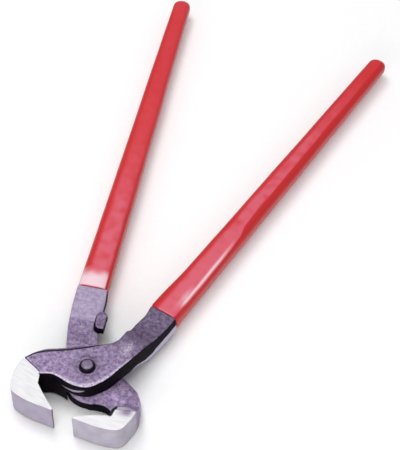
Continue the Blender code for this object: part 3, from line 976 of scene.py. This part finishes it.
def from_axis(tree):
    """Distance of a point from the piece's own upright axis, in millimetres."""
    place = tree.nodes.new("ShaderNodeAttribute")
    place.attribute_name = "place"
    flat = tree.nodes.new("ShaderNodeVectorMath")
    flat.operation = "MULTIPLY"
    flat.inputs[1].default_value = (1 / MM, 1 / MM, 0)
    tree.links.new(place.outputs["Vector"], flat.inputs[0])
    radius = tree.nodes.new("ShaderNodeVectorMath")
    radius.operation = "LENGTH"
    tree.links.new(flat.outputs[0], radius.inputs[0])
    return radius.outputs["Value"]


def rivet_material():
    """Dull steel with black painted shade round the edge of the dome."""
    made, tree, shader = material("rivet_steel")
    cloud = clouds(tree, scale=500, Detail=5)
    base = ramp(tree, cloud, [(0.3, (0.13, 0.10, 0.16, 1)), (0.7, (0.25, 0.20, 0.29, 1))])
    # Black painted shade round the edge of the dome.
    widest = 5.0           # the ramp below runs from the axis to this radius
    share = multiplied(tree, from_axis(tree), 1 / widest)
    base = mix(tree, ramp(tree, share, [(0.62, 0.0), (0.76, 1.0)]), base, RIVET_RIM_SHADE)
    tree.links.new(base, shader.inputs["Base Color"])
    shader.inputs["Metallic"].default_value = 0.25
    shader.inputs["Roughness"].default_value = 0.40
    shader.inputs["Specular IOR Level"].default_value = 0.08
    tree.links.new(bump(tree, cloud, strength=0.5, distance=0.00012), shader.inputs["Normal"])
    return made


def vinyl_material():
    """Glossy dipped coat, red, with painted light and shade: a sheen on its rosy top, shade on
    its deep red flank, and a reflection and highlights in its pale bloom.
    """
    made, tree, shader = material("red_vinyl")
    deep_shade, pale_reflection, rosy_sheen = painted_channels(tree, "tone")
    slow = clouds(tree, scale=22, stretch=(1, 0.35, 1), Detail=3)
    fine = clouds(tree, scale=420, Detail=4)
    base = ramp(tree, slow, [(0.35, (0.58, 0.022, 0.026, 1)), (0.65, (0.64, 0.038, 0.046, 1))])
    # Painted sheen, painted shade, then painted reflection and highlights.
    base = mix(tree, rosy_sheen, base, ROSY_SHEEN)
    base = mix(tree, deep_shade, base, DEEP_RED_SHADE)
    base = mix(tree, pale_reflection, base, PINK_REFLECTION)
    tree.links.new(base, shader.inputs["Base Color"])
    tree.links.new(ramp(tree, fine, [(0.3, 0.30), (0.7, 0.40)]), shader.inputs["Roughness"])
    shader.inputs["Specular IOR Level"].default_value = 0.3
    shader.inputs["Coat Weight"].default_value = 0.12
    shader.inputs["Coat Roughness"].default_value = 0.15
    tree.links.new(bump(tree, fine, strength=0.12, distance=0.00015), shader.inputs["Normal"])
    return made


# ---- stage ----------------------------------------------------------------------------------
def area_light(name, place, target, size, power):
    light = bpy.data.lights.new(name, "AREA")
    light.shape = "RECTANGLE"
    light.size, light.size_y = size
    light.energy = power
    item = bpy.data.objects.new(name, light)
    bpy.context.scene.collection.objects.link(item)
    item.location = place
    item.rotation_euler = (Vector(target) - Vector(place)).to_track_quat("-Z", "Y").to_euler()


def floor_material():
    made, tree, shader = material("white_card")
    grain = clouds(tree, scale=300, Detail=3)
    base = ramp(tree, grain, [(0.3, (0.945, 0.945, 0.945, 1)), (0.7, (0.965, 0.965, 0.965, 1))])
    tree.links.new(base, shader.inputs["Base Color"])
    shader.inputs["Roughness"].default_value = 0.9
    shader.inputs["Specular IOR Level"].default_value = 0.1
    return made


def stage():
    """White card just under the tool, a pale surround and three soft lights."""
    bm = bmesh.new()
    bmesh.ops.create_grid(bm, x_segments=2, y_segments=2, size=3.0)
    floor = from_bmesh(bm, "floor")
    floor.location.z = -0.2 * MM
    keep_places(floor.data)
    floor.data.materials.append(floor_material())
    world = bpy.data.worlds.new("studio")
    bpy.context.scene.world = world
    world.use_nodes = True
    background = world.node_tree.nodes["Background"]
    background.inputs["Color"].default_value = (1.0, 1.0, 1.02, 1)
    background.inputs["Strength"].default_value = 0.41
    centre = (0.016, 0.13, 0.0)
    area_light("key", (-0.40, 0.36, 1.40), centre, size=(0.60, 0.60), power=7)
    area_light("top", (0.10, 0.0, 1.9), centre, size=(1.2, 1.2), power=11)
    area_light("front", (0.15, -1.3, 0.55), centre, size=(1.2, 0.6), power=9)


def camera():
    """View from the front and right, looking down at 51.6 degrees through a long lens."""
    place = Vector((0.25163, -0.44028, 0.79518))
    target = Vector((0.01614, 0.13451, 0.0115))
    roll = math.radians(0.9057)
    data = bpy.data.cameras.new("camera")
    data.sensor_fit = "HORIZONTAL"
    data.sensor_width = 36.0
    data.lens = 138.32
    data.clip_start = 0.01
    item = bpy.data.objects.new("camera", data)
    bpy.context.scene.collection.objects.link(item)
    aim = (target - place).to_track_quat("-Z", "Y").to_matrix().to_4x4()
    item.matrix_world = Matrix.Translation(place) @ aim @ Matrix.Rotation(roll, 4, "Z")
    bpy.context.scene.camera = item


def main():
    materials = {"forged": forged_material(), "ground": ground_material()}
    vinyl = vinyl_material()
    for side, lower in (("upper", False), ("lower", True)):
        half = placed(steel_half(side, lower, materials), lower)
        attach(half, side)
        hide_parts(side + "_half")
        grip = grip_body(side + "_dipped_grip", seed=5.0 if lower else 1.0, lower=lower)
        grip.data.materials.append(vinyl)
        grip.data.shade_smooth()
        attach(placed(grip, lower), side)
        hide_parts(side + "_grip")
    rivet = pivot_rivet(rivet_material())
    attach(rivet, "lower")
    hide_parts("pivot_rivet")
    stage()
    camera()
    bpy.context.scene.view_settings.view_transform = "Standard"


main()
